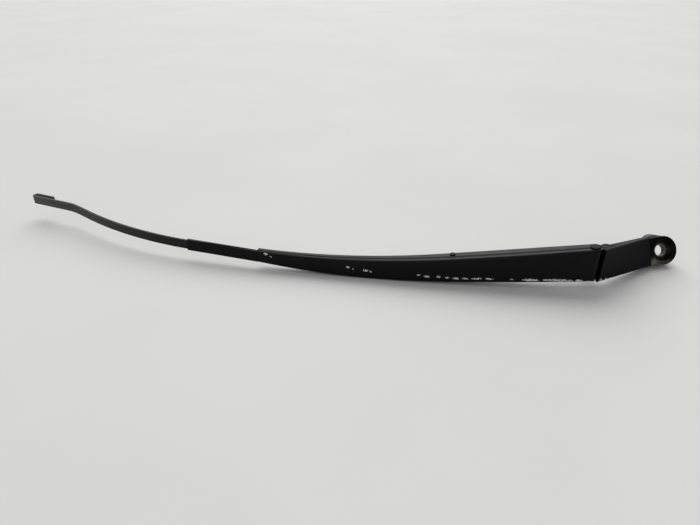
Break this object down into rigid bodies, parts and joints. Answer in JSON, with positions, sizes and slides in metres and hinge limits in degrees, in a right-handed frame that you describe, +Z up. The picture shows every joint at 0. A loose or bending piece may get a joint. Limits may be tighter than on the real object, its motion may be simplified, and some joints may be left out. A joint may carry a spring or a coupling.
{
  "type": "wiper arm",
  "caption": "Spring-loaded wiper arm: twisted cast head with a spindle boss, hinged folded-sheet channel with a tension spring inside, and a flat bar crimped in and bent to a blade hook.",
  "frame": {"origin": "middle of the spindle bore's straight land", "axes": "the arm stands on its long edge as it lies: +Z up along the hinge pin, the head runs along -X from the spindle to the hinge, +Y to the side that faces the glass"},
  "size_m": [0.5474, 0.3732, 0.0415],
  "materials": {
    "head_paint": "semi-gloss black paint on a zinc casting, worn at the spindle boss",
    "channel_paint": "semi-gloss black paint on sheet steel, chipped along the lower edge",
    "bar_paint": "satin dark grey, worn lighter towards the hook",
    "rivet_paint": "black paint over rivet heads",
    "bare_steel": "plated steel, dull",
    "spring_steel": "oiled spring wire"
  },
  "bodies": {
    "head": {"arm_head": "head_paint", "link_pin": "bare_steel"},
    "arm": {"arm_channel": "channel_paint", "blade_bar": "bar_paint", "hinge_pin": "rivet_paint", "anchor_pin": "rivet_paint"},
    "link": {"spring_link": "bare_steel"},
    "spring": {"tension_spring": "spring_steel"}
  },
  "joints": [
    {"name": "arm_hinge", "type": "hinge", "parent": "head", "child": "arm", "pos_m": [-0.0934, -0.0063, 0.01233], "axis": [0, 0, 1], "range_deg": [0, 75], "stiffness_Nm_per_rad": 2, "springref_deg": -34.38},
    {"name": "link_swing", "type": "hinge", "parent": "head", "child": "link", "pos_m": [-0.0839, 0.0024, 0.0068], "axis": [0, 0, 1], "range_deg": [0, 70]},
    {"name": "spring_stretch", "type": "slide", "parent": "link", "child": "spring", "axis": [-0.903, 0.4296, 0], "range_m": [0, 0.009], "deforming": ["tension_spring"]}
  ],
  "couplings": [
    {"joint": "link_swing", "follows": "arm_hinge", "ratio": 0.92077},
    {"joint": "spring_stretch", "follows": "arm_hinge", "m_per_rad": 0.0066034}
  ]
}
